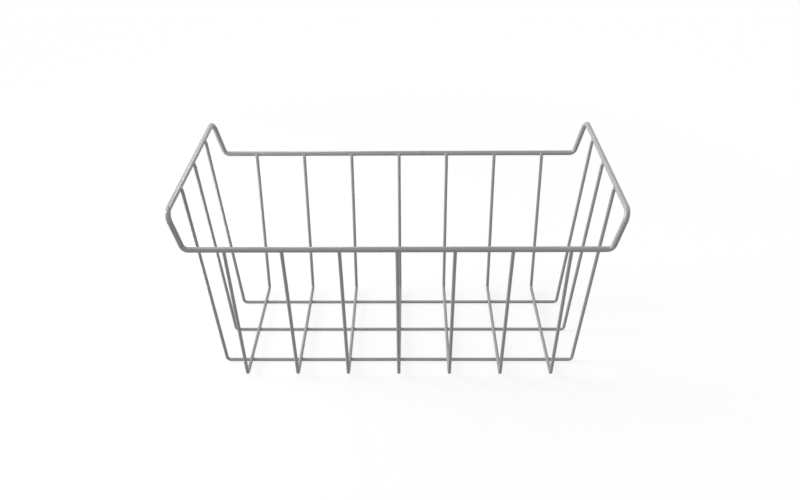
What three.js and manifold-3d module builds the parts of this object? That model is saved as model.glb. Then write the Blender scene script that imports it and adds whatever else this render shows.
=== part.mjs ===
// Wire basket for a chest freezer: a closed rim rod with raised end bars, and cross wires and
// long wires bent to a U, resistance-welded wherever two of them meet.
// Millimetres, +Z up, +X along the basket. The origin lies under its middle, on the surface it stands on.
import * as THREE from 'three';
import Module from 'manifold-3d';

const wasm = await Module();
wasm.setup();

// Rods, with bend radii to the centre line
const wireDiameter = 4;
const wireBendRadius = 4.5;
const rimDiameter = 6;
const rimLowBendRadius = 7; // between the front or back rim and a rise
const rimHighBendRadius = 11; // between a rise and an end bar

// Basket, between centre lines and their corner points before bending
const floorLength = 420;
const floorDepth = 174;
const wallHeight = 192.5; // from the cross wires' floor runs up to the front and back rims
const sideFlare = 21.2; // how far the front and back walls lean out on the way up
const endFlare = 18.2; // how far the end legs lean out on the way up
const endBarRise = 43; // end bars above the front and back rims
const endBarOverhang = 10.5; // end bars outside the low corners of the rim

// Wires across and along the floor
const crossWireCount = 7;
const crossWireMargin = 30; // from the ends of the floor to the outer cross wires
const longWireNames = ['front', 'middle', 'back'];
const longWireMargin = 29; // from the sides of the floor to the outer long wires

// Welds
const crossingSetDown = 1; // how deep two wires are pressed into each other where they cross
const rimInset = 2.8; // wires inside the rim rod that they are pressed into, between centre lines
const wireEndRise = 1.8; // wire ends above the centre line of that rod
const weldGap = 0.3; // clearance kept between the two pieces at a weld

// Facets
const wireSides = 12;
const rimSides = 16;
const bendSteps = 6;

const wireRadius = wireDiameter / 2;
const rimRadius = rimDiameter / 2;

const longWireZ = wireRadius;
const crossWireZ = longWireZ + wireDiameter - crossingSetDown;
const rimZ = crossWireZ + wallHeight;
const endBarZ = rimZ + endBarRise;

const wallTopY = floorDepth / 2 + sideFlare;
const rimY = wallTopY + rimInset;
const legTopX = floorLength / 2 + endFlare;
const endBarX = legTopX + rimInset;
const rimCornerX = endBarX - endBarOverhang;

const crossWireReach = floorLength / 2 - crossWireMargin;
const crossWirePlaces = spread(crossWireCount, crossWireReach);
const longWireReach = floorDepth / 2 - longWireMargin;
const longWirePlaces = spread(longWireNames.length, longWireReach);

const down = new THREE.Vector3(0, 0, -1);
const right = new THREE.Vector3(1, 0, 0);
const left = new THREE.Vector3(-1, 0, 0);
const back = new THREE.Vector3(0, 1, 0);

// Places of evenly spaced wires from -reach to +reach
function spread(count, reach) {
  return Array.from({ length: count }, (_, index) => reach * ((2 * index) / (count - 1) - 1));
}

function direction(from, to) {
  return to.clone().sub(from).normalize();
}

// The stations of one bend, from the end of the run that comes in to the start of the run that goes out.
// The facing of the section turns with the rod. It is given for the run that comes in.
function bendStations(before, corner, after, radius, facing) {
  const into = direction(before, corner);
  const outOf = direction(corner, after);
  const angle = into.angleTo(outOf);
  const axis = into.clone().cross(outOf).normalize();
  const start = corner.clone().addScaledVector(into, -radius * Math.tan(angle / 2));
  const centre = start.clone().addScaledVector(axis.clone().cross(into), radius);
  return Array.from({ length: bendSteps + 1 }, (_, step) => {
    const turn = new THREE.Quaternion().setFromAxisAngle(axis, (angle * step) / bendSteps);
    return {
      point: start.clone().sub(centre).applyQuaternion(turn).add(centre),
      tangent: into.clone().applyQuaternion(turn),
      facing: facing.clone().applyQuaternion(turn),
    };
  });
}

// The stations of a rod bent at each corner between its two ends.
function bentRod(corners, radius, facing) {
  const stations = [];
  let carried = facing;
  for (let index = 1; index < corners.length - 1; index += 1) {
    stations.push(...bendStations(corners[index - 1], corners[index], corners[index + 1], radius, carried));
    carried = stations[stations.length - 1].facing;
  }
  return [
    { ...stations[0], point: corners[0] },
    ...stations,
    { ...stations[stations.length - 1], point: corners[corners.length - 1] },
  ];
}

// The stations of a level run of the rim with the bends at both its ends, all turned from the run's facing.
function levelRun(before, start, end, after, radius, facing) {
  const backwards = bendStations(end, start, before, radius, facing);
  const entry = backwards.reverse().map(({ point, tangent, facing: turned }) => ({
    point,
    tangent: tangent.negate(),
    facing: turned,
  }));
  return [...entry, ...bendStations(start, end, after, radius, facing)];
}

// The closed skin of a rod: a ring of corners round each station, with a facet square to its facing.
// The facets touch the true round from outside.
function rodGeometry(stations, radius, sides, isLoop = false) {
  const cornerRadius = radius / Math.cos(Math.PI / sides);
  const positions = [];
  for (const { point, tangent, facing } of stations) {
    const across = tangent.clone().cross(facing);
    for (let side = 0; side < sides; side += 1) {
      const angle = ((side + 0.5) * 2 * Math.PI) / sides;
      const corner = point.clone();
      corner.addScaledVector(facing, cornerRadius * Math.cos(angle));
      corner.addScaledVector(across, cornerRadius * Math.sin(angle));
      positions.push(...corner.toArray());
    }
  }
  const triangles = [];
  const bands = isLoop ? stations.length : stations.length - 1;
  for (let band = 0; band < bands; band += 1) {
    const near = band * sides;
    const far = ((band + 1) % stations.length) * sides;
    for (let side = 0; side < sides; side += 1) {
      const next = (side + 1) % sides;
      triangles.push(near + side, near + next, far + next);
      triangles.push(near + side, far + next, far + side);
    }
  }
  if (!isLoop) {
    const last = (stations.length - 1) * sides;
    for (let side = 1; side < sides - 1; side += 1) {
      triangles.push(0, side + 1, side);
      triangles.push(last, last + side, last + side + 1);
    }
  }
  const geometry = new THREE.BufferGeometry();
  geometry.setAttribute('position', new THREE.Float32BufferAttribute(positions, 3));
  geometry.setIndex(triangles);
  return geometry;
}

// What a weld takes out of a wire: a short straight length of the rod pressed into it, plus the weld's gap.
function weldSeat(centre, along, radius, sides, facing) {
  const ends = [-wireDiameter, wireDiameter];
  const stations = ends.map((offset) => ({
    point: centre.clone().addScaledVector(along, offset),
    tangent: along,
    facing,
  }));
  return rodGeometry(stations, radius + weldGap, sides);
}

function solidOf(geometry) {
  return new wasm.Manifold(
    new wasm.Mesh({
      numProp: 3,
      vertProperties: geometry.attributes.position.array,
      triVerts: new Uint32Array(geometry.index.array),
    }),
  );
}

// The wire with a saddle cut at each of its welds.
function seated(wire, seats) {
  let solid = solidOf(wire);
  for (const seat of seats) {
    solid = solid.subtract(solidOf(seat));
  }
  const cut = solid.getMesh();
  const geometry = new THREE.BufferGeometry();
  geometry.setAttribute('position', new THREE.Float32BufferAttribute(cut.vertProperties, 3));
  geometry.setIndex(Array.from(cut.triVerts));
  return geometry;
}

// The point of a wire's rising line just past its top, where the wire is cut off.
function wireEnd(foot, top) {
  return top.clone().addScaledVector(direction(foot, top), wireEndRise);
}

// Front rim, right end bar, back rim and left end bar, with the rises between them.
// The end bars face outwards, so the rises carry a slight twist and every level run has a facet underneath.
function rimFrame() {
  const frontLeft = new THREE.Vector3(-rimCornerX, -rimY, rimZ);
  const frontRight = new THREE.Vector3(rimCornerX, -rimY, rimZ);
  const rightFront = new THREE.Vector3(endBarX, -rimY, endBarZ);
  const rightBack = new THREE.Vector3(endBarX, rimY, endBarZ);
  const backRight = new THREE.Vector3(rimCornerX, rimY, rimZ);
  const backLeft = new THREE.Vector3(-rimCornerX, rimY, rimZ);
  const leftBack = new THREE.Vector3(-endBarX, rimY, endBarZ);
  const leftFront = new THREE.Vector3(-endBarX, -rimY, endBarZ);
  const stations = [
    ...levelRun(leftFront, frontLeft, frontRight, rightFront, rimLowBendRadius, down),
    ...levelRun(frontRight, rightFront, rightBack, backRight, rimHighBendRadius, right),
    ...levelRun(rightBack, backRight, backLeft, leftBack, rimLowBendRadius, down),
    ...levelRun(backLeft, leftBack, leftFront, frontLeft, rimHighBendRadius, left),
  ];
  return rodGeometry(stations, rimRadius, rimSides, true);
}

// A cross wire in the plane x = 0: it lies on the long wires and reaches up to the front and back rims.
function crossWire() {
  const frontFoot = new THREE.Vector3(0, -floorDepth / 2, crossWireZ);
  const backFoot = new THREE.Vector3(0, floorDepth / 2, crossWireZ);
  const frontTop = new THREE.Vector3(0, -wallTopY, rimZ);
  const backTop = new THREE.Vector3(0, wallTopY, rimZ);
  const corners = [wireEnd(frontFoot, frontTop), frontFoot, backFoot, wireEnd(backFoot, backTop)];
  const outwards = direction(corners[0], corners[1]).cross(right);
  const rimSeats = [-rimY, rimY].map((y) =>
    weldSeat(new THREE.Vector3(0, y, rimZ), right, rimRadius, rimSides, down),
  );
  const floorSeats = longWirePlaces.map((y) =>
    weldSeat(new THREE.Vector3(0, y, longWireZ), right, wireRadius, wireSides, down),
  );
  const wire = rodGeometry(bentRod(corners, wireBendRadius, outwards), wireRadius, wireSides);
  return seated(wire, [...rimSeats, ...floorSeats]);
}

// A long wire in the plane y = 0: the basket stands on its floor run, and its legs reach up to the end bars.
function longWire() {
  const leftFoot = new THREE.Vector3(-floorLength / 2, 0, longWireZ);
  const rightFoot = new THREE.Vector3(floorLength / 2, 0, longWireZ);
  const leftTop = new THREE.Vector3(-legTopX, 0, endBarZ);
  const rightTop = new THREE.Vector3(legTopX, 0, endBarZ);
  const corners = [wireEnd(leftFoot, leftTop), leftFoot, rightFoot, wireEnd(rightFoot, rightTop)];
  const outwards = back.clone().cross(direction(corners[0], corners[1]));
  const barSeats = [-endBarX, endBarX].map((x) =>
    weldSeat(new THREE.Vector3(x, 0, endBarZ), back, rimRadius, rimSides, right),
  );
  const wire = rodGeometry(bentRod(corners, wireBendRadius, outwards), wireRadius, wireSides);
  return seated(wire, barSeats);
}

// Silver-grey coat over steel, the same on every rod.
function coatedSteel() {
  return new THREE.MeshStandardMaterial({ color: 0xa0a2a1, roughness: 0.38, metalness: 0.25 });
}

const basket = new THREE.Group();

function addPiece(name, geometry, x = 0, y = 0) {
  const piece = new THREE.Mesh(geometry, coatedSteel());
  piece.name = name;
  piece.position.set(x, y, 0);
  piece.geometry.computeVertexNormals();
  basket.add(piece);
}

addPiece('rim_frame', rimFrame());
crossWirePlaces.forEach((x, index) => addPiece(`cross_wire_${index + 1}`, crossWire(), x, 0));
longWirePlaces.forEach((y, index) => addPiece(`long_wire_${longWireNames[index]}`, longWire(), 0, y));

export default basket;
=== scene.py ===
# Silver-grey wire basket for a chest freezer: eleven bent rods, welded wherever two of them meet.
# Each rod is a round section carried along straight runs and arcs. Rods are worked out in millimetres.
import bpy
import numpy as np
from mathutils import Matrix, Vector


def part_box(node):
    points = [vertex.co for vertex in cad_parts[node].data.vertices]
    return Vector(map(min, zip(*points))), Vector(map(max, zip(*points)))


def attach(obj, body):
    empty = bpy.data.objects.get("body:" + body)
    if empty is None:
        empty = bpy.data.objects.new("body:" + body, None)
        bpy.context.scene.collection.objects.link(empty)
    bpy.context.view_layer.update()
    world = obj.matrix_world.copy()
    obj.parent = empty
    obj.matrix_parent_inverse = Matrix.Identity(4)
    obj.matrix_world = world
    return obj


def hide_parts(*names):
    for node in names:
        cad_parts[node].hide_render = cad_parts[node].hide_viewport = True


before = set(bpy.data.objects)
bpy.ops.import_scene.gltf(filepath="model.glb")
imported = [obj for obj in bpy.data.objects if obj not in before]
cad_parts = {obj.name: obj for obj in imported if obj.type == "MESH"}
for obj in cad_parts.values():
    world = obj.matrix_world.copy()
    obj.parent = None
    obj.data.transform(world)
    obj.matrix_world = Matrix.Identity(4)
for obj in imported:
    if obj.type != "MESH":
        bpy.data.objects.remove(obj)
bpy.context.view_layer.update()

mm = 0.001  # one millimetre in Blender's metres
tiny = 1e-6  # keeps divisions off zero
print("frame loaded:", len(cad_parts), "rods")

basket = {
    "wireThick": 4.0,
    "wireBend": 4.5,  # bend radii are to the centre line
    "rimThick": 6.0,
    "rimLowBend": 7.0,  # between the front or back rim and a rise
    "rimHighBend": 11.0,  # between a rise and an end bar
    "rimDepth": 222.0,  # front rim to back rim, between centre lines
    "endBarRise": 43.0,  # end bars above the front and back rims
    "endBarOverhang": 10.5,  # end bars outside the rim's low corners
    "sideFlare": 21.2,  # how far the front and back walls lean out on the way up
    "endFlare": 18.2,  # the same of the end legs
    "rimInset": 2.8,  # wires inside the rim rod that they are pressed into, between centre lines
    "wireEndRise": 1.0,  # wire ends above the centre line of that rod
}

weld = {
    "setDown": 1.0,  # how deep two wires are pressed into each other where they cross
    "crossBlend": (1.3, 2.1),  # least and greatest reach of the fillet of coat and flash round a crossing
    "endBlend": (1.1, 1.7),  # the same round a wire's end
    "lumps": 0.22,  # how uneven that fillet is round the wire
    "lobes": (2, 3),  # numbers of lumps round it, in two waves
    "swell": 1.0,  # the most that a skin swells there
    "reach": 5.0,  # length of skin worked on, each way
    "fadeFrom": 0.7,  # share of that length after which the swelling fades out
    "poolAt": 0.35,  # swelling at which the coat counts as fully pooled
    "step": 0.25,  # ring spacing there
    "leastStep": 0.12,  # a ring nearer than this to the one before it is dropped
    "search": 0.05,  # spacing of the points tried to find a weld's place along a rod
    "halvings": 14,  # rounds of halving that find a fillet, to within 0.0001 mm
    "crossFlat": (0.13, 4.4),  # depth and length of the flat that an electrode leaves on a crossing wire
    "endFlat": (0.7, 8.5),  # the same on a wire's end, on the side away from the rim rod
    "rimFlat": (0.2, 4.4),  # the same on top of the rim rod, over a wire's end
    "flatFull": 0.4,  # share of a flat's length that has its full depth
    "flatClear": 0.3,  # how far outside the round the flat's plane stands before it is pressed in
    "flatSoft": 0.12,  # rounding of a flat's edge
    "thinAndGlintAt": 0.1,  # share of the radius pressed away at which a flat gets its full pale colour: a thinner coat and a painted highlight
    "seed": 7,
}


def frameBox(node):
    # lowest and highest corner of a CAD node in millimetres
    low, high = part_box(node)
    return np.array(low) / mm, np.array(high) / mm


# Places of the rods, from the frame's boxes and the few sizes above
wireRadius = basket["wireThick"] / 2
rimRadius = basket["rimThick"] / 2
rimHigh = frameBox("rim_frame")[1]
endBarX = rimHigh[0] - rimRadius
endBarZ = rimHigh[2] - rimRadius
rimZ = endBarZ - basket["endBarRise"]
rimY = basket["rimDepth"] / 2
rimCornerX = endBarX - basket["endBarOverhang"]
legTopX = endBarX - basket["rimInset"]
footX = legTopX - basket["endFlare"]
wallTopY = rimY - basket["rimInset"]
footY = wallTopY - basket["sideFlare"]
longWireZ = frameBox("long_wire_middle")[0][2] + wireRadius
crossWireZ = longWireZ + basket["wireThick"] - weld["setDown"]
crossNodes = sorted(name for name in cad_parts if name.startswith("cross_wire"))
longNodes = sorted(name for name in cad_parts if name.startswith("long_wire"))
crossPlaces = {name: np.mean(frameBox(name), axis=0)[0] for name in crossNodes}
longPlaces = {name: np.mean(frameBox(name), axis=0)[1] for name in longNodes}


def unit(vectors):
    # the same directions with length 1
    return vectors / np.linalg.norm(vectors, axis=-1, keepdims=True)


def smoothStep(low, high, value):
    # 3t^2 - 2t^3, where t goes from 0 at low to 1 at high; low may be the greater of the two
    t = np.clip((value - low) / (high - low), 0, 1)
    return t * t * (3 - 2 * t)


def softMin(a, b, reach):
    # the lesser of two distances, rounded off where they differ by less than the reach
    nearness = np.maximum(reach - np.abs(a - b), 0) / reach
    return np.minimum(a, b) - nearness**2 * reach / 4


def bentPath(points, bendRadius, facing):
    # Straight runs between points, with every inner corner rounded by an arc of the given radius, or of its
    # own radius in a list, that starts radius x tan(half the turn) before it. Runs and arcs are alike:
    # stretches of constant curvature. The facing is carried along and turns with each arc, so that sections
    # don't twist.
    points, bendRadius = np.asarray(points, float), np.asarray(bendRadius, float)
    heading = unit(np.diff(points, axis=0))
    turn = np.arccos(np.sum(heading[:-1] * heading[1:], axis=1))
    cut = bendRadius * np.tan(turn / 2)
    side = unit(heading[1:] - np.cos(turn)[:, None] * heading[:-1])
    runLength = np.linalg.norm(np.diff(points, axis=0), axis=1)
    runLength -= np.append(0, cut) + np.append(cut, 0)
    count = 2 * len(heading) - 1
    lastSide = np.cos(turn[-1]) * side[-1] - np.sin(turn[-1]) * heading[-2]
    path = {
        "start": np.empty((count, 3)),
        "heading": np.repeat(heading, 2, axis=0)[:count],
        "side": np.repeat(np.vstack([side, lastSide]), 2, axis=0)[:count],
        "curve": np.zeros(count),
        "length": np.empty(count),
    }
    path["start"][0::2] = points[:-1] + heading * np.append(0, cut)[:, None]
    path["start"][1::2] = points[1:-1] - heading[:-1] * cut[:, None]
    path["curve"][1::2] = 1 / bendRadius
    path["length"][0::2] = runLength
    path["length"][1::2] = bendRadius * turn
    path["begin"] = np.append(0, np.cumsum(path["length"]))[:-1]
    path["total"] = path["length"].sum()
    path["binormal"] = np.cross(path["heading"], path["side"])
    lean = np.empty((count, 2))  # the facing's share of the side and of the binormal, on each stretch
    carried = np.asarray(facing, float)
    for index in range(count):
        lean[index] = carried @ path["side"][index], carried @ path["binormal"][index]
        angle = path["curve"][index] * path["length"][index]
        inward = np.cos(angle) * path["side"][index] - np.sin(angle) * path["heading"][index]
        carried = lean[index, 0] * inward + lean[index, 1] * path["binormal"][index]
    path["lean"] = lean
    return path


def walk(path, s):
    # Points, headings, facings and inward directions at lengths s along a path. On a stretch of
    # curvature k, a length t leads sin(kt)/k ahead and (1 - cos(kt))/k aside, written so that k may be 0.
    index = np.clip(np.searchsorted(path["begin"], s, side="right") - 1, 0, None)
    t = s - path["begin"][index]
    angle = path["curve"][index] * t
    ahead = t * np.sinc(angle / np.pi)
    aside = t * np.sin(angle / 2) * np.sinc(angle / 2 / np.pi)
    heading, side = path["heading"][index], path["side"][index]
    point = path["start"][index] + ahead[:, None] * heading + aside[:, None] * side
    cosine, sine = np.cos(angle)[:, None], np.sin(angle)[:, None]
    inward = cosine * side - sine * heading
    lean = path["lean"][index]
    facing = lean[:, :1] * inward + lean[:, 1:] * path["binormal"][index]
    return {"point": point, "heading": cosine * heading + sine * side, "facing": facing, "inward": inward}


def bendShare(path, s, ease):
    # 1 inside the arcs and 0 on the runs, eased over a short length at their ends
    begin, length = path["begin"][1::2, None], path["length"][1::2, None]
    rise = smoothStep(-ease, ease, s[None] - begin)
    fall = smoothStep(-ease, ease, s[None] - begin - length)
    return np.sum(rise - fall, axis=0)


def ringPlaces(path, meets, settings):
    # Lengths along the path that get a ring: even steps on the runs, finer ones on the arcs and at the welds
    runs = np.linspace(0, path["total"], int(path["total"] / settings["runStep"]) + 2)
    arcBegin, arcLength = path["begin"][1::2], path["length"][1::2]
    bends = np.linspace(arcBegin, arcBegin + arcLength, settings["bendRings"])
    near = np.arange(-weld["reach"], weld["reach"] + weld["step"], weld["step"])
    spots = np.array([meet["at"] for meet in meets])
    places = np.concatenate([runs, bends.ravel(), (spots[:, None] + near).ravel()])
    places = np.sort(places[(places >= 0) & (places <= path["total"])])
    return places[np.append(True, np.diff(places) > weld["leastStep"])]


def meeting(path, point, along, thick, blend, flat, flatTowards):
    # A weld as one of its rods sees it: its place on this rod's path, which is the one nearest to the other
    # rod, the line and thickness of that rod, the reach of the fillet if this rod's skin carries it, and the
    # size and direction of the electrode's flat on this rod
    s = np.linspace(0, path["total"], int(path["total"] / weld["search"]))
    at = s[np.argmin(np.linalg.norm(walk(path, s)["point"] - point, axis=1))]
    return {
        "at": at,
        "point": np.asarray(point, float),
        "along": unit(np.asarray(along, float)),
        "radius": thick / 2,
        "blend": blend,
        "flat": flat,
        "flatTowards": unit(np.asarray(flatTowards, float)),
    }


def filletSwell(centres, outwards, radius, meet, blend):
    # How far a skin moves outwards to lie where the soft minimum of the distances to its own rod and to the
    # other is 0, found by halving: nothing far from the weld, and the full swell inside the other rod, where
    # it is hidden
    low = np.zeros(outwards.shape[:2])
    high = np.full(outwards.shape[:2], weld["swell"])
    for _ in range(weld["halvings"]):
        swell = (low + high) / 2
        offset = centres[:, None] + (radius + swell)[..., None] * outwards - meet["point"]
        offset -= (offset @ meet["along"])[..., None] * meet["along"]
        other = np.linalg.norm(offset, axis=-1) - meet["radius"]
        inside = softMin(swell, other, blend) < 0
        low, high = np.where(inside, swell, low), np.where(inside, high, swell)
    return high


def pressedFlat(skin, outwards, places, radius, meet):
    # The share of its radius that each point of a skin loses to the electrode's flat: its height towards
    # the electrode is held below a plane that sinks from outside the round to the flat's depth
    depth, length = meet["flat"]
    half = length / 2
    press = smoothStep(half, weld["flatFull"] * half, np.abs(places - meet["at"]))[:, None]
    plane = radius - press * depth + (1 - press) * weld["flatClear"]
    height = skin * np.maximum(outwards @ meet["flatTowards"], tiny)
    return np.where(press > 0, 1 - softMin(height, plane, weld["flatSoft"]) / height, 0)


def shearedEnd(radius, settings):
    # Depths from a wire's end, and the shares of its full section there. With an edge rounded by e, the
    # section's radius at depth d is r - e + sqrt(e^2 - (e - d)^2). A low dome closes it, outside the end.
    edge = settings["endEdge"]
    depth = edge * (1 - np.cos(np.linspace(0, np.pi / 2, settings["endRings"])))
    share = 1 - (edge - np.sqrt(np.maximum(edge**2 - (edge - depth) ** 2, 0))) / radius
    inner = np.linspace(0, 1, settings["domeRings"] + 2)[1:-1] * share[0]
    domeDepth = -settings["endDome"] * (1 - (inner / share[0]) ** 2)
    return np.concatenate([domeDepth, depth]), np.concatenate([inner, share])


def rodSkin(path, thick, settings, meets, draw, closed=False):
    # A round section carried along the path:
    # point = centre + radius x (cos(angle) x facing + sin(angle) x across).
    # It is flattened a little in the bends, swollen at the welds, pressed by the electrodes and rounded off
    # at sheared ends.
    places = ringPlaces(path, meets, settings)
    if closed:
        places = places[:-1]
    radius = thick / 2
    trim = np.ones(len(places))
    if not closed:
        depth, share = shearedEnd(radius, settings)
        clear = settings["endEdge"] + settings["endClear"]
        keep = places[(places > clear) & (places < path["total"] - clear)]
        places = np.concatenate([depth, keep, path["total"] - depth[::-1]])
        trim = np.concatenate([share, np.ones(len(keep)), share[::-1]])
    at = walk(path, places)
    angles = np.arange(settings["sides"]) * 2 * np.pi / settings["sides"]
    across = np.cross(at["heading"], at["facing"])
    outwards = (np.cos(angles)[None, :, None] * at["facing"][:, None]
                + np.sin(angles)[None, :, None] * across[:, None])
    bend = bendShare(path, places, settings["bendEase"])[:, None]
    towards = np.einsum("nmk,nk->nm", outwards, at["inward"])
    skin = radius * trim[:, None] * (1 - settings["bendFlatten"] * bend * towards**2)
    pool = np.zeros(skin.shape)
    thin = np.zeros(skin.shape)
    for meet in meets:
        near = np.abs(places - meet["at"]) < weld["reach"]
        lumpTurn = draw.uniform(0, 2 * np.pi, len(weld["lobes"]))  # drawn with a fillet or without
        if meet["blend"] is not None:
            lump = sum(np.sin(count * angles + turn) for count, turn in zip(weld["lobes"], lumpTurn))
            uneven = draw.uniform(*meet["blend"]) * (1 + weld["lumps"] / 2 * lump)[None]
            swell = filletSwell(at["point"][near], outwards[near], skin[near], meet, uneven)
            fromWeld = np.abs(places[near] - meet["at"])
            swell *= smoothStep(weld["reach"], weld["reach"] * weld["fadeFrom"], fromWeld)[:, None]
            skin[near] += swell
            pool[near] = np.maximum(pool[near], smoothStep(0, weld["poolAt"], swell))
        cut = pressedFlat(skin, outwards, places, radius, meet)
        skin *= 1 - cut
        # the flats get a paler colour: partly a thinner coat, partly a painted highlight
        thin = np.maximum(thin, smoothStep(0, weld["thinAndGlintAt"], cut))
    if closed:
        # the butt weld that closes the loop stands a little proud
        fromSeam = np.minimum(places, path["total"] - places)[:, None]
        collar = settings["seamRise"] * np.exp(-(fromSeam / settings["seamLength"]) ** 2)
        skin += collar
        pool += smoothStep(0, settings["seamRise"], collar)
    wander = settings["wander"] * sum(
        np.sin(2 * np.pi * waves * places / path["total"] + draw.uniform(0, 2 * np.pi)) / waves
        for waves in settings["waves"])
    centres = at["point"] + wander[:, None] * at["facing"]
    points = centres[:, None] + skin[..., None] * outwards
    poles = None
    if not closed:
        poles = walk(path, np.array([-settings["endDome"], path["total"] + settings["endDome"]]))["point"]
    return {"points": points, "poles": poles, "pool": np.clip(pool, 0, 1), "thin": thin, "closed": closed}


def rodMesh(name, skins):
    # Quads between neighbouring rings, wrapped round the section and, on a loop, round the path, and a fan
    # of triangles at each end of an open rod
    rings, sides = skins["points"].shape[:2]
    ring = np.arange(rings if skins["closed"] else rings - 1)[:, None] * sides
    step = np.arange(sides)[None]
    turn = (step + 1) % sides
    ahead = (ring + sides) % (rings * sides)
    quads = np.stack([ring + step, ring + turn, ahead + turn, ahead + step], axis=-1).reshape(-1, 4)
    faces = quads.tolist()
    points, pool, thin = skins["points"].reshape(-1, 3), skins["pool"].ravel(), skins["thin"].ravel()
    if skins["poles"] is not None:
        last = (rings - 1) * sides
        first = np.stack([turn[0], step[0], np.full(sides, rings * sides)], axis=-1)
        final = np.stack([last + step[0], last + turn[0], np.full(sides, rings * sides + 1)], axis=-1)
        faces += first.tolist() + final.tolist()
        points = np.vstack([points, skins["poles"]])
        pool, thin = np.append(pool, [1, 1]), np.append(thin, [0, 0])
    mesh = bpy.data.meshes.new(name)
    mesh.from_pydata((points * mm).tolist(), [], faces)
    for label, values in (("coatPool", pool), ("coatThin", thin)):
        mesh.attributes.new(label, "FLOAT", "POINT").data.foreach_set("value", values.astype(np.float32))
    mesh.shade_smooth()
    piece = bpy.data.objects.new(name, mesh)
    bpy.context.scene.collection.objects.link(piece)
    return piece


def linear(hexColour):
    # sRGB hex to the linear values that shaders take
    part = np.array([int(hexColour[i:i + 2], 16) for i in (1, 3, 5)]) / 255
    return (*np.where(part <= 0.04045, part / 12.92, ((part + 0.055) / 1.055) ** 2.4).tolist(), 1.0)


def addNode(tree, kind, settings=None, inputs=None):
    # settings are the node's own properties; inputs are socket values, or (node, output) to link from
    node = tree.nodes.new(kind)
    for name, value in (settings or {}).items():
        setattr(node, name, value)
    for name, value in (inputs or {}).items():
        if isinstance(value, tuple) and isinstance(value[0], bpy.types.Node):
            tree.links.new(value[0].outputs[value[1]], node.inputs[name])
        else:
            node.inputs[name].default_value = value
    return node


def newTree(owner):
    # an empty node tree for a material or a world
    owner.use_nodes = True
    owner.node_tree.nodes.clear()
    return owner.node_tree


mixShare, mixFrom, mixTo, mixResult = 0, 6, 7, 2  # a colour Mix node's sockets: three inputs and its output


def seenDirectly(tree):
    # 1 for rays from the camera, from reflections and through clear materials, and 0 for rays of light
    ray = addNode(tree, "ShaderNodeLightPath")
    either = addNode(tree, "ShaderNodeMath", {"operation": "MAXIMUM"}, {
        0: (ray, "Is Camera Ray"), 1: (ray, "Is Glossy Ray")})
    return addNode(tree, "ShaderNodeMath", {"operation": "MAXIMUM"}, {
        0: (either, 0), 1: (ray, "Is Transmission Ray")})


coat = {
    "dark": "#999a99",
    "light": "#a7a8a7",
    "pooled": "#8e8f8e",  # thicker coat in the weld fillets
    "poolShare": 0.7,  # how much of the pooled colour shows there
    "thin": "#b2b2b1",  # paler over the electrodes' flats: partly coat drawn thin, partly a painted highlight
    "cloudSize": 26.0,  # mm
    "cloudDetail": 3.0,
    "cloudRoughness": 0.55,
    "peelSize": 1.5,  # mm from crest to crest of the orange peel
    "peelDepth": 0.009,  # mm
    "peelDetail": 1.0,
    "glossSize": 7.0,  # mm
    "glossDetail": 2.0,
    "glossSpan": (0.3, 0.7),  # the noise values that give the two roughnesses
    "roughness": (0.27, 0.36),
    "metallic": 0.12,  # aluminium flake in the powder
    "ior": 1.5,
}


def silverPowderCoat():
    # Polyester powder with a little aluminium flake, sprayed on drawn steel wire and melted in an oven.
    # It gives an even silver grey with a satin shine, a faint orange peel, and a smooth fillet where it ran
    # into the welds.
    material = bpy.data.materials.new("silverPowderCoatOnSteelWire")
    tree = newTree(material)
    place = addNode(tree, "ShaderNodeTexCoord")
    cloud = addNode(tree, "ShaderNodeTexNoise", {}, {
        "Vector": (place, "Object"), "Scale": 1 / (coat["cloudSize"] * mm),
        "Detail": coat["cloudDetail"], "Roughness": coat["cloudRoughness"]})
    tone = addNode(tree, "ShaderNodeMix", {"data_type": "RGBA"}, {
        mixShare: (cloud, "Fac"), mixFrom: linear(coat["dark"]), mixTo: linear(coat["light"])})
    poolMark = addNode(tree, "ShaderNodeAttribute", {"attribute_name": "coatPool"})
    poolShare = addNode(tree, "ShaderNodeMath", {"operation": "MULTIPLY"}, {
        0: (poolMark, "Fac"), 1: coat["poolShare"]})
    pooled = addNode(tree, "ShaderNodeMix", {"data_type": "RGBA"}, {
        mixShare: (poolShare, 0), mixFrom: (tone, mixResult), mixTo: linear(coat["pooled"])})
    # paler over the electrodes' flats: partly a thinner coat, partly a painted highlight
    thinAndGlintMark = addNode(tree, "ShaderNodeAttribute", {"attribute_name": "coatThin"})
    thinnedAndGlinting = addNode(tree, "ShaderNodeMix", {"data_type": "RGBA"}, {
        mixShare: (thinAndGlintMark, "Fac"), mixFrom: (pooled, mixResult), mixTo: linear(coat["thin"])})
    gloss = addNode(tree, "ShaderNodeTexNoise", {}, {
        "Vector": (place, "Object"), "Scale": 1 / (coat["glossSize"] * mm), "Detail": coat["glossDetail"]})
    roughness = addNode(tree, "ShaderNodeMapRange", {}, {
        "Value": (gloss, "Fac"), "From Min": coat["glossSpan"][0], "From Max": coat["glossSpan"][1],
        "To Min": coat["roughness"][0], "To Max": coat["roughness"][1]})
    peel = addNode(tree, "ShaderNodeTexNoise", {}, {
        "Vector": (place, "Object"), "Scale": 1 / (coat["peelSize"] * mm), "Detail": coat["peelDetail"]})
    bump = addNode(tree, "ShaderNodeBump", {}, {
        "Height": (peel, "Fac"), "Distance": coat["peelDepth"] * mm, "Strength": 1.0})
    shader = addNode(tree, "ShaderNodeBsdfPrincipled", {}, {
        "Base Color": (thinnedAndGlinting, mixResult), "Roughness": (roughness, "Result"), "Normal": (bump, "Normal"),
        "Metallic": coat["metallic"], "IOR": coat["ior"]})
    addNode(tree, "ShaderNodeOutputMaterial", {}, {"Surface": (shader, 0)})
    return material


coatMaterial = silverPowderCoat()
draw = np.random.default_rng(weld["seed"])


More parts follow.
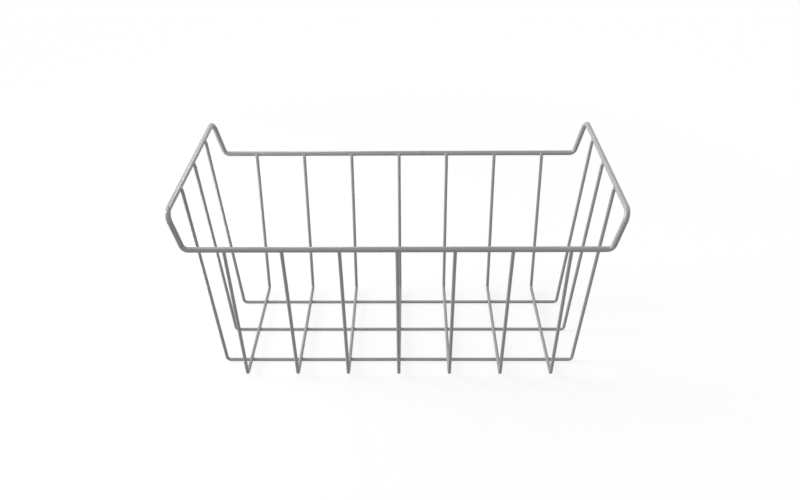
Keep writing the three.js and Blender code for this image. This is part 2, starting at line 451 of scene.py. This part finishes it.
def finishRod(name, node, skins):
    # a rod with its coat, in place of its CAD node
    piece = rodMesh(name, skins)
    piece.data.materials.append(coatMaterial)
    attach(piece, "root")
    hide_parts(node)
    print(name, "in place of", node, "with", len(piece.data.polygons), "faces")


wireSkin = {
    "sides": 44,
    "runStep": 4.0,
    "bendRings": 19,
    "bendEase": 2.5,
    "bendFlatten": 0.035,
    "endEdge": 0.7,  # rounding of the squeezed end
    "endDome": 0.1,
    "endRings": 6,
    "domeRings": 2,
    "endClear": 0.1,  # between the rounded end and the next ring
    "wander": 0.1,  # sideways, as a straightened wire still wanders
    "waves": (2, 3, 5),  # how often it wanders to and fro from end to end
}

wallLean = np.array([0, basket["sideFlare"], rimZ - crossWireZ])  # up the back wall, from foot to rim
legLean = np.array([basket["endFlare"], 0, endBarZ - longWireZ])  # up the right end, from foot to end bar


def crossWire(node):
    # A U in a plane of constant x: it lies on the long wires and stands up to the front and back rims
    x = crossPlaces[node]
    backUp = unit(wallLean)
    frontUp = backUp * [1, -1, 1]
    frontTop = np.array([x, -wallTopY, rimZ])
    backTop = np.array([x, wallTopY, rimZ])
    points = [frontTop + basket["wireEndRise"] * frontUp, [x, -footY, crossWireZ],
              [x, footY, crossWireZ], backTop + basket["wireEndRise"] * backUp]
    path = bentPath(points, basket["wireBend"], [1, 0, 0])
    meets = [meeting(path, [x, y, rimZ], [1, 0, 0], basket["rimThick"], weld["endBlend"],
                     weld["endFlat"], [0, -y, 0]) for y in (-rimY, rimY)]
    meets += [meeting(path, [x, y, longWireZ], [1, 0, 0], basket["wireThick"], weld["crossBlend"],
                      weld["crossFlat"], [0, 0, 1]) for y in longPlaces.values()]
    return rodSkin(path, basket["wireThick"], wireSkin, meets, draw)


def longWire(node):
    # A U in a plane of constant y: the basket stands on its floor run, and its legs reach the end bars
    y = longPlaces[node]
    rightUp = unit(legLean)
    leftUp = rightUp * [-1, 1, 1]
    leftTop = np.array([-legTopX, y, endBarZ])
    rightTop = np.array([legTopX, y, endBarZ])
    points = [leftTop + basket["wireEndRise"] * leftUp, [-footX, y, longWireZ],
              [footX, y, longWireZ], rightTop + basket["wireEndRise"] * rightUp]
    path = bentPath(points, basket["wireBend"], [0, 1, 0])
    meets = [meeting(path, [x, y, endBarZ], [0, 1, 0], basket["rimThick"], weld["endBlend"],
                     weld["endFlat"], [-x, 0, 0]) for x in (-endBarX, endBarX)]
    meets += [meeting(path, [x, y, crossWireZ], [0, 1, 0], basket["wireThick"], None,
                      weld["crossFlat"], [0, 0, -1]) for x in crossPlaces.values()]
    return rodSkin(path, basket["wireThick"], wireSkin, meets, draw)


rimSkin = {
    "sides": 60,
    "runStep": 5.0,
    "bendRings": 27,
    "bendEase": 4.0,
    "bendFlatten": 0.03,
    "seamPlace": 30.0,  # x of the butt weld, on the back rim between two cross wires
    "seamRise": 0.04,
    "seamLength": 1.6,
    "wander": 0.0,  # the thick rod stays straight
    "waves": (2, 3, 5),
}


def rimRod():
    # A closed loop from the seam on the back rim, by the left end bar, the front rim and the right end bar
    seam = [rimSkin["seamPlace"], rimY, rimZ]
    points = [seam, [-rimCornerX, rimY, rimZ], [-endBarX, rimY, endBarZ], [-endBarX, -rimY, endBarZ],
              [-rimCornerX, -rimY, rimZ], [rimCornerX, -rimY, rimZ], [endBarX, -rimY, endBarZ],
              [endBarX, rimY, endBarZ], [rimCornerX, rimY, rimZ], seam]
    low, high = basket["rimLowBend"], basket["rimHighBend"]
    path = bentPath(points, [low, high, high, low] * 2, [0, 0, -1])
    meets = []
    for x in crossPlaces.values():
        for sign in (-1, 1):
            lean = wallLean * [1, sign, 1]
            meets.append(meeting(path, [x, sign * wallTopY, rimZ], lean, basket["wireThick"], None,
                                 weld["rimFlat"], lean))
    for y in longPlaces.values():
        for sign in (-1, 1):
            lean = legLean * [sign, 1, 1]
            meets.append(meeting(path, [sign * legTopX, y, endBarZ], lean, basket["wireThick"], None,
                                 weld["rimFlat"], lean))
    return rodSkin(path, basket["rimThick"], rimSkin, meets, draw, closed=True)


finishRod("rimRod", "rim_frame", rimRod())
for number, node in enumerate(crossNodes, 1):
    finishRod(f"crossWire{number}", node, crossWire(node))
for node in longNodes:
    finishRod("longWire" + node.split("_")[-1].capitalize(), node, longWire(node))
print("rods done")

ground = {
    "radius": 30.0,  # metres
    "corners": 96,
    "below": 0.00005,  # metres under the wires, so that the two skins don't fight
    "middle": "#888888",  # darker where the soft boxes light it more, so that it looks even
    "outside": "#9f9f9f",
    "fade": 0.9,  # metres from the middle to where the outer colour begins
    "lift": 0.785,  # what is added for the camera and for reflections, up to white
}


def groundSheet():
    # A flat disc: point = radius x (cos(angle), sin(angle)), as one many-sided face
    angle = np.linspace(0, 2 * np.pi, ground["corners"], endpoint=False)
    points = np.stack([ground["radius"] * np.cos(angle), ground["radius"] * np.sin(angle),
                       np.full(len(angle), -ground["below"])], axis=1)
    mesh = bpy.data.meshes.new("groundSheet")
    mesh.from_pydata(points.tolist(), [], [list(range(len(angle)))])
    sheet = bpy.data.objects.new("groundSheet", mesh)
    bpy.context.scene.collection.objects.link(sheet)
    material = bpy.data.materials.new("matteStudioPaper")
    tree = newTree(material)
    place = addNode(tree, "ShaderNodeTexCoord")
    fromMiddle = addNode(tree, "ShaderNodeVectorMath", {"operation": "LENGTH"}, {0: (place, "Object")})
    fade = addNode(tree, "ShaderNodeMapRange", {}, {
        "Value": (fromMiddle, "Value"), "From Max": ground["fade"]})
    paper = addNode(tree, "ShaderNodeMix", {"data_type": "RGBA"}, {
        mixShare: (fade, "Result"), mixFrom: linear(ground["middle"]), mixTo: linear(ground["outside"])})
    matte = addNode(tree, "ShaderNodeBsdfDiffuse", {}, {"Color": (paper, mixResult)})
    seen = seenDirectly(tree)
    lift = addNode(tree, "ShaderNodeMath", {"operation": "MULTIPLY"}, {0: (seen, 0), 1: ground["lift"]})
    glow = addNode(tree, "ShaderNodeEmission", {}, {"Strength": (lift, 0)})
    both = addNode(tree, "ShaderNodeAddShader", {}, {0: (matte, 0), 1: (glow, 0)})
    addNode(tree, "ShaderNodeOutputMaterial", {}, {"Surface": (both, 0)})
    mesh.materials.append(material)


groundSheet()

# Places are in metres. Spreads are full angles in degrees: that of a far lamp as the basket sees it, and
# that of the cone that a soft box lights.
lights = {
    "key": {"from": (-0.93, 0.15, 0.33), "level": 0.9, "spread": 30.0},
    "front": {"from": (0.1, -0.95, 0.3), "level": 0.12, "spread": 60.0},
    "leftBox": {
        "place": (-0.36, 0.0, 0.46), "aim": (-0.231, 0.0, 0.24),
        "size": 0.3, "watts": 0.57, "spread": 180.0},
    "rightBox": {
        "place": (0.36, 0.0, 0.46), "aim": (0.231, 0.0, 0.24),
        "size": 0.3, "watts": 0.22, "spread": 180.0},
    "backBox": {
        "place": (-0.16, 0.355, 0.5), "aim": (-0.231, -0.06, 0.24),
        "size": 0.1, "watts": 0.5, "spread": 180.0},
    "sideBox": {
        "place": (-0.38, -0.05, 0.05), "aim": (-0.222, 0.0, 0.16),
        "size": 0.12, "watts": 0.1, "spread": 85.0},
    "room": 0.27,  # soft light from all round
    "white": 1.0,  # the room as it is seen, and as it is mirrored
}


def hangLamp(lamp, back, place=(0, 0, 0)):
    # a lamp shines down its own -z, so its z points back to where the light comes from
    back = unit(np.array(back))
    right = unit(np.cross([0, 0, 1], back))
    turn = np.column_stack([right, np.cross(back, right), back])
    holder = bpy.data.objects.new(lamp.name, lamp)
    holder.matrix_world = Matrix.Translation(place) @ Matrix(turn.tolist()).to_4x4()
    holder.visible_camera = False
    bpy.context.scene.collection.objects.link(holder)


def studioLight():
    # Two broad lamps far off light the floor evenly: at a level of 1, a surface that faces one shows its
    # colour as it is written. Soft boxes hang close over the end bars, a small one behind the left bar draws
    # a line of light along it, and a narrow one low beside the left end lights the outer sides of its legs.
    for name in ("key", "front"):
        lamp = bpy.data.lights.new(name + "Light", "SUN")
        lamp.energy = lights[name]["level"] * np.pi
        lamp.angle = np.radians(lights[name]["spread"])
        hangLamp(lamp, lights[name]["from"])
    for name in ("leftBox", "rightBox", "backBox", "sideBox"):
        box = lights[name]
        lamp = bpy.data.lights.new(name + "Light", "AREA")
        lamp.size = box["size"]
        lamp.spread = np.radians(box["spread"])
        lamp.energy = box["watts"]
        hangLamp(lamp, np.array(box["place"]) - np.array(box["aim"]), box["place"])
    world = bpy.data.worlds.new("studioRoom")
    tree = newTree(world)
    level = addNode(tree, "ShaderNodeMapRange", {}, {
        "Value": (seenDirectly(tree), 0), "To Min": lights["room"], "To Max": lights["white"]})
    glow = addNode(tree, "ShaderNodeBackground", {}, {"Color": (1, 1, 1, 1), "Strength": (level, "Result")})
    addNode(tree, "ShaderNodeOutputWorld", {}, {"Surface": (glow, 0)})
    bpy.context.scene.world = world


studioLight()
bpy.context.scene.view_settings.view_transform = "Standard"
print("floor and light done")

view = {
    "lens": 34.807,  # mm
    "sensor": 36.0,  # mm across
    "height": 33.355,  # degrees above the horizon
    "turn": -0.767,  # degrees, looking a little to the left
    "tilt": -0.522,  # degrees, about the line of sight
    "distance": 940.1,  # mm from the aim
    "aim": (0.0, 0.0, 101.25),  # mm, halfway up the front and back walls
    "slide": (-1.33, -18.9),  # mm, the aim's place right of and above the picture's middle
}


def photoCamera():
    # Looks at the aim from a height and a turn, tilted about its line of sight and slid across it
    height, turn, tilt = np.radians([view["height"], view["turn"], view["tilt"]])
    ahead = np.array([np.sin(turn) * np.cos(height), np.cos(turn) * np.cos(height), -np.sin(height)])
    level = np.array([np.cos(turn), -np.sin(turn), 0])
    upright = np.cross(level, ahead)
    right = np.cos(tilt) * level + np.sin(tilt) * upright
    up = np.cos(tilt) * upright - np.sin(tilt) * level
    slide = view["slide"][0] * right + view["slide"][1] * up
    place = np.array(view["aim"]) - view["distance"] * ahead - slide
    camera = bpy.data.objects.new("photoCamera", bpy.data.cameras.new("photoCamera"))
    camera.data.lens = view["lens"]
    camera.data.sensor_width = view["sensor"]
    turnMatrix = Matrix(np.column_stack([right, up, -ahead]).tolist()).to_4x4()
    camera.matrix_world = Matrix.Translation((place * mm).tolist()) @ turnMatrix
    bpy.context.scene.collection.objects.link(camera)
    bpy.context.scene.camera = camera


photoCamera()
